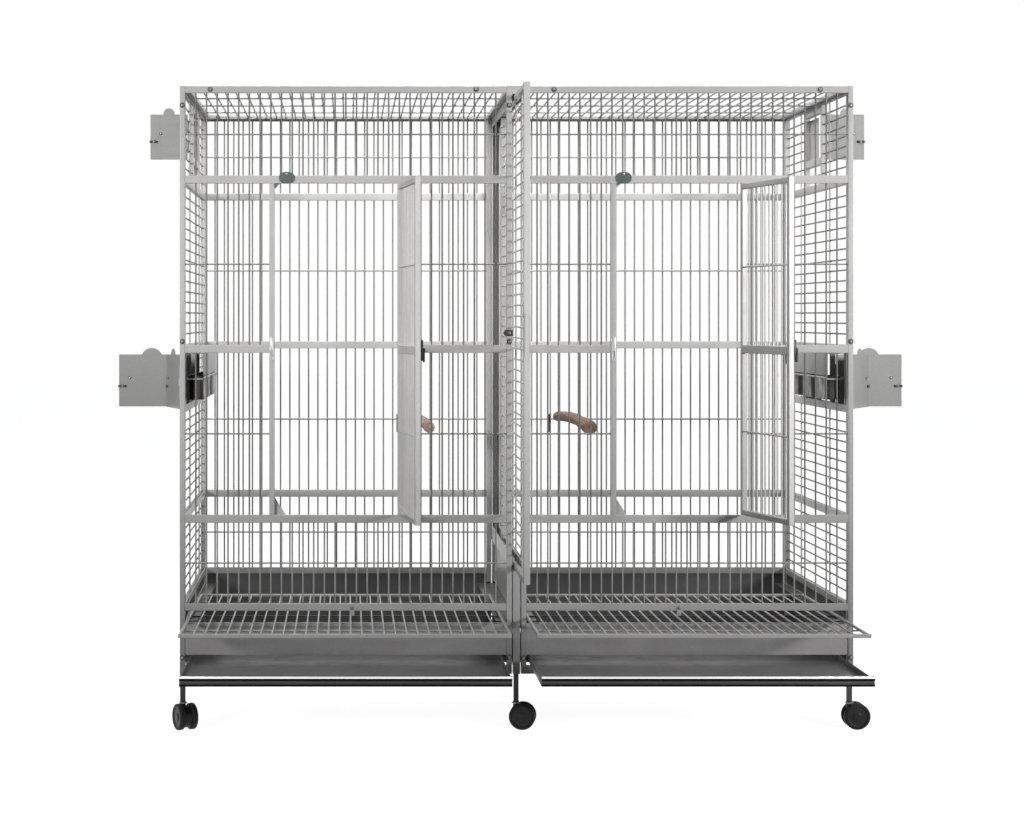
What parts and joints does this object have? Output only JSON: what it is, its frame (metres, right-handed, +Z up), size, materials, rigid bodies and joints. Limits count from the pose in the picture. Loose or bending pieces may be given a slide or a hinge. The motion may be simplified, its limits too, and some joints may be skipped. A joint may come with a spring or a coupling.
{
  "type": "double parrot cage",
  "caption": "Large wheeled parrot cage in two compartments with front doors, a pull-out divider, pull-out grates and trays, side feeders and perches",
  "frame": {"origin": "On the floor, in the middle of the bounding box in X and Y, with the doors, divider, grates, trays and feeders open as in the picture", "axes": "+X to the right seen from the front, +Y from the front to the rear, +Z up"},
  "size_m": [2.4566, 1.471, 1.942],
  "materials": {
    "frame_paint": "satin hammered grey powder coat",
    "sheet_paint": "satin grey powder coat on sheet",
    "tray_paint": "satin grey powder coat on folded sheet",
    "plate_paint": "satin light grey powder coat",
    "badge_paint": "dark green-grey, plain",
    "chrome": "bright plated",
    "screw_steel": "plated screws with dark rings",
    "lock_metal": "dark plated metal",
    "dark_steel": "dark steel",
    "bowl_steel": "brushed stainless steel",
    "black_plastic": "matt black",
    "wheel_plastic": "matt black",
    "branch_wood": "barked hardwood branch"
  },
  "bodies": {
    "cage": {"left_front_panel": "frame_paint", "right_front_panel": "frame_paint", "left_rear_panel": "frame_paint", "right_rear_panel": "frame_paint", "left_side_panel": "frame_paint", "right_side_panel": "frame_paint", "roof_panels": "frame_paint", "centre_partition": "frame_paint", "lower_skirts": "sheet_paint", "panel_screws": "screw_steel", "badge_plates": "badge_paint", "strike_plates": "chrome", "door_hinges": "frame_paint", "perches": "branch_wood", "perch_mounts": "dark_steel", "feeder_hoods": "frame_paint", "bowl_holders": "frame_paint", "feeder_bowls": "bowl_steel"},
    "left_door": {"left_door": "frame_paint", "left_door_lock": "lock_metal"},
    "left_lock_lever": {"left_lock_lever": "black_plastic"},
    "right_door": {"right_door": "frame_paint", "right_door_lock": "lock_metal"},
    "right_lock_lever": {"right_lock_lever": "black_plastic"},
    "divider": {"divider": "frame_paint"},
    "divider_stop": {"divider_stop": "dark_steel"},
    "left_grate": {"left_grate": "frame_paint"},
    "left_tray": {"left_tray": "tray_paint"},
    "left_grate_clip": {"left_grate_clip": "frame_paint"},
    "right_grate": {"right_grate": "frame_paint"},
    "right_tray": {"right_tray": "tray_paint"},
    "right_grate_clip": {"right_grate_clip": "frame_paint"},
    "left_front_feeder_door": {"left_front_feeder_door": "plate_paint"},
    "left_front_feeder_latch": {"left_front_feeder_latch": "lock_metal"},
    "left_middle_feeder_door": {"left_middle_feeder_door": "plate_paint"},
    "left_middle_feeder_latch": {"left_middle_feeder_latch": "lock_metal"},
    "left_rear_feeder_door": {"left_rear_feeder_door": "plate_paint"},
    "left_rear_feeder_latch": {"left_rear_feeder_latch": "lock_metal"},
    "left_upper_feeder_door": {"left_upper_feeder_door": "plate_paint"},
    "left_upper_feeder_latch": {"left_upper_feeder_latch": "lock_metal"},
    "right_front_feeder_door": {"right_front_feeder_door": "plate_paint"},
    "right_front_feeder_latch": {"right_front_feeder_latch": "lock_metal"},
    "right_middle_feeder_door": {"right_middle_feeder_door": "plate_paint"},
    "right_middle_feeder_latch": {"right_middle_feeder_latch": "lock_metal"},
    "right_rear_feeder_door": {"right_rear_feeder_door": "plate_paint"},
    "right_rear_feeder_latch": {"right_rear_feeder_latch": "lock_metal"},
    "right_upper_feeder_door": {"right_upper_feeder_door": "plate_paint"},
    "right_upper_feeder_latch": {"right_upper_feeder_latch": "lock_metal"},
    "front_left_castor_fork": {"front_left_castor_fork": "black_plastic"},
    "front_left_castor_wheels": {"front_left_castor_wheels": "wheel_plastic"},
    "front_centre_castor_fork": {"front_centre_castor_fork": "black_plastic"},
    "front_centre_castor_wheels": {"front_centre_castor_wheels": "wheel_plastic"},
    "front_right_castor_fork": {"front_right_castor_fork": "black_plastic"},
    "front_right_castor_wheels": {"front_right_castor_wheels": "wheel_plastic"},
    "rear_left_castor_fork": {"rear_left_castor_fork": "black_plastic"},
    "rear_left_castor_wheels": {"rear_left_castor_wheels": "wheel_plastic"},
    "rear_centre_castor_fork": {"rear_centre_castor_fork": "black_plastic"},
    "rear_centre_castor_wheels": {"rear_centre_castor_wheels": "wheel_plastic"},
    "rear_right_castor_fork": {"rear_right_castor_fork": "black_plastic"},
    "rear_right_castor_wheels": {"rear_right_castor_wheels": "wheel_plastic"}
  },
  "joints": [
    {"name": "left_door_hinge", "type": "hinge", "parent": "cage", "child": "left_door", "pos_m": [-0.3415, -0.2845, 1.148], "axis": [0, 0, 1], "range_deg": [-96.6, 43.4]},
    {"name": "left_lock_turn", "type": "hinge", "parent": "left_door", "child": "left_lock_lever", "pos_m": [-0.29276, -0.65787, 1.15], "axis": [-0.9934, -0.1149, 0], "range_deg": [0, 90]},
    {"name": "right_door_hinge", "type": "hinge", "parent": "cage", "child": "right_door", "pos_m": [0.6885, -0.2845, 1.148], "axis": [0, 0, 1], "range_deg": [-101.7, 38.3]},
    {"name": "right_lock_turn", "type": "hinge", "parent": "right_door", "child": "right_lock_lever", "pos_m": [0.77024, -0.65206, 1.15], "axis": [-0.9792, -0.2028, 0], "range_deg": [0, 90]},
    {"name": "divider_slide", "type": "slide", "parent": "cage", "child": "divider", "axis": [0, -1, 0], "range_m": [-0.395, 0.35]},
    {"name": "divider_stop_turn", "type": "hinge", "parent": "cage", "child": "divider_stop", "pos_m": [-0.022, -0.2835, 1.197], "axis": [0, 1, 0], "range_deg": [0, 105]},
    {"name": "left_grate_slide", "type": "slide", "parent": "cage", "child": "left_grate", "axis": [0, -1, 0], "range_m": [-0.389, 0.35]},
    {"name": "left_tray_slide", "type": "slide", "parent": "cage", "child": "left_tray", "axis": [0, -1, 0], "range_m": [-0.45, 0.3]},
    {"name": "left_clip_turn", "type": "hinge", "parent": "cage", "child": "left_grate_clip", "pos_m": [-0.496, -0.2818, 0.368], "axis": [0, 1, 0], "range_deg": [-90, 90]},
    {"name": "right_grate_slide", "type": "slide", "parent": "cage", "child": "right_grate", "axis": [0, -1, 0], "range_m": [-0.389, 0.35]},
    {"name": "right_tray_slide", "type": "slide", "parent": "cage", "child": "right_tray", "axis": [0, -1, 0], "range_m": [-0.45, 0.3]},
    {"name": "right_clip_turn", "type": "hinge", "parent": "cage", "child": "right_grate_clip", "pos_m": [0.49, -0.2818, 0.368], "axis": [0, 1, 0], "range_deg": [-90, 90]},
    {"name": "left_front_feeder_hinge", "type": "hinge", "parent": "cage", "child": "left_front_feeder_door", "pos_m": [-1.02, -0.2305, 1.0465], "axis": [0, 0, 1], "range_deg": [-16, 134]},
    {"name": "left_front_feeder_latch_turn", "type": "hinge", "parent": "left_front_feeder_door", "child": "left_front_feeder_latch", "pos_m": [-1.07418, -0.04338, 1.029], "axis": [-0.9613, -0.2756, 0], "range_deg": [-90, 90]},
    {"name": "left_middle_feeder_hinge", "type": "hinge", "parent": "cage", "child": "left_middle_feeder_door", "pos_m": [-1.02, -0.0185, 1.0465], "axis": [0, 0, 1], "range_deg": [-90, 0]},
    {"name": "left_middle_feeder_latch_turn", "type": "hinge", "parent": "left_middle_feeder_door", "child": "left_middle_feeder_latch", "pos_m": [-1.2148, -0.019, 1.029], "axis": [0, -1, 0], "range_deg": [-90, 90]},
    {"name": "left_rear_feeder_hinge", "type": "hinge", "parent": "cage", "child": "left_rear_feeder_door", "pos_m": [-1.02, 0.1935, 1.0465], "axis": [0, 0, 1], "range_deg": [0, 120]},
    {"name": "left_rear_feeder_latch_turn", "type": "hinge", "parent": "left_rear_feeder_door", "child": "left_rear_feeder_latch", "pos_m": [-1.0205, 0.3883, 1.029], "axis": [-1, 0, 0], "range_deg": [-90, 90]},
    {"name": "left_upper_feeder_hinge", "type": "hinge", "parent": "cage", "child": "left_upper_feeder_door", "pos_m": [-1.02, 0.1165, 1.819], "axis": [0, 0, 1], "range_deg": [-90, 70]},
    {"name": "left_upper_feeder_latch_turn", "type": "hinge", "parent": "left_upper_feeder_door", "child": "left_upper_feeder_latch", "pos_m": [-1.1283, 0.116, 1.804], "axis": [0, -1, 0], "range_deg": [-90, 90]},
    {"name": "right_front_feeder_hinge", "type": "hinge", "parent": "cage", "child": "right_front_feeder_door", "pos_m": [1.02, -0.2305, 1.0465], "axis": [0, 0, -1], "range_deg": [-28, 122]},
    {"name": "right_front_feeder_latch_turn", "type": "hinge", "parent": "right_front_feeder_door", "child": "right_front_feeder_latch", "pos_m": [1.1119, -0.05874, 1.029], "axis": [0.8829, -0.4695, 0], "range_deg": [-90, 90]},
    {"name": "right_middle_feeder_hinge", "type": "hinge", "parent": "cage", "child": "right_middle_feeder_door", "pos_m": [1.02, -0.0185, 1.0465], "axis": [0, 0, -1], "range_deg": [-90, 0]},
    {"name": "right_middle_feeder_latch_turn", "type": "hinge", "parent": "right_middle_feeder_door", "child": "right_middle_feeder_latch", "pos_m": [1.2148, -0.019, 1.029], "axis": [0, -1, 0], "range_deg": [-90, 90]},
    {"name": "right_rear_feeder_hinge", "type": "hinge", "parent": "cage", "child": "right_rear_feeder_door", "pos_m": [1.02, 0.1935, 1.0465], "axis": [0, 0, -1], "range_deg": [0, 120]},
    {"name": "right_rear_feeder_latch_turn", "type": "hinge", "parent": "right_rear_feeder_door", "child": "right_rear_feeder_latch", "pos_m": [1.0205, 0.3883, 1.029], "axis": [1, 0, 0], "range_deg": [-90, 90]},
    {"name": "right_upper_feeder_hinge", "type": "hinge", "parent": "cage", "child": "right_upper_feeder_door", "pos_m": [1.02, 0.1165, 1.819], "axis": [0, 0, -1], "range_deg": [-90, 70]},
    {"name": "right_upper_feeder_latch_turn", "type": "hinge", "parent": "right_upper_feeder_door", "child": "right_upper_feeder_latch", "pos_m": [1.1283, 0.116, 1.804], "axis": [0, -1, 0], "range_deg": [-90, 90]},
    {"name": "front_left_castor_swivel", "type": "hinge", "parent": "cage", "child": "front_left_castor_fork", "pos_m": [-1.008, -0.2565, 0.084], "axis": [0, 0, 1], "continuous": true},
    {"name": "front_left_castor_roll", "type": "hinge", "parent": "front_left_castor_fork", "child": "front_left_castor_wheels", "pos_m": [-0.99955, -0.27463, 0.0395], "axis": [0.9063, 0.4226, 0], "continuous": true},
    {"name": "front_centre_castor_swivel", "type": "hinge", "parent": "cage", "child": "front_centre_castor_fork", "pos_m": [0, -0.2565, 0.084], "axis": [0, 0, 1], "continuous": true},
    {"name": "front_centre_castor_roll", "type": "hinge", "parent": "front_centre_castor_fork", "child": "front_centre_castor_wheels", "pos_m": [0.0197, -0.25997, 0.0395], "axis": [0.1736, 0.9848, 0], "continuous": true},
    {"name": "front_right_castor_swivel", "type": "hinge", "parent": "cage", "child": "front_right_castor_fork", "pos_m": [1.008, -0.2565, 0.084], "axis": [0, 0, 1], "continuous": true},
    {"name": "front_right_castor_roll", "type": "hinge", "parent": "front_right_castor_fork", "child": "front_right_castor_wheels", "pos_m": [1.028, -0.2565, 0.0395], "axis": [0, 1, 0], "continuous": true},
    {"name": "rear_left_castor_swivel", "type": "hinge", "parent": "cage", "child": "rear_left_castor_fork", "pos_m": [-1.008, 0.7115, 0.084], "axis": [0, 0, 1], "continuous": true},
    {"name": "rear_left_castor_roll", "type": "hinge", "parent": "rear_left_castor_fork", "child": "rear_left_castor_wheels", "pos_m": [-1.0066, 0.69155, 0.0395], "axis": [0.9976, 0.0698, 0], "continuous": true},
    {"name": "rear_centre_castor_swivel", "type": "hinge", "parent": "cage", "child": "rear_centre_castor_fork", "pos_m": [0, 0.7115, 0.084], "axis": [0, 0, 1], "continuous": true},
    {"name": "rear_centre_castor_roll", "type": "hinge", "parent": "rear_centre_castor_fork", "child": "rear_centre_castor_wheels", "pos_m": [-0.00174, 0.69158, 0.0395], "axis": [0.9962, -0.0872, 0], "continuous": true},
    {"name": "rear_right_castor_swivel", "type": "hinge", "parent": "cage", "child": "rear_right_castor_fork", "pos_m": [1.008, 0.7115, 0.084], "axis": [0, 0, 1], "continuous": true},
    {"name": "rear_right_castor_roll", "type": "hinge", "parent": "rear_right_castor_fork", "child": "rear_right_castor_wheels", "pos_m": [1.008, 0.6915, 0.0395], "axis": [1, 0, 0], "continuous": true}
  ]
}
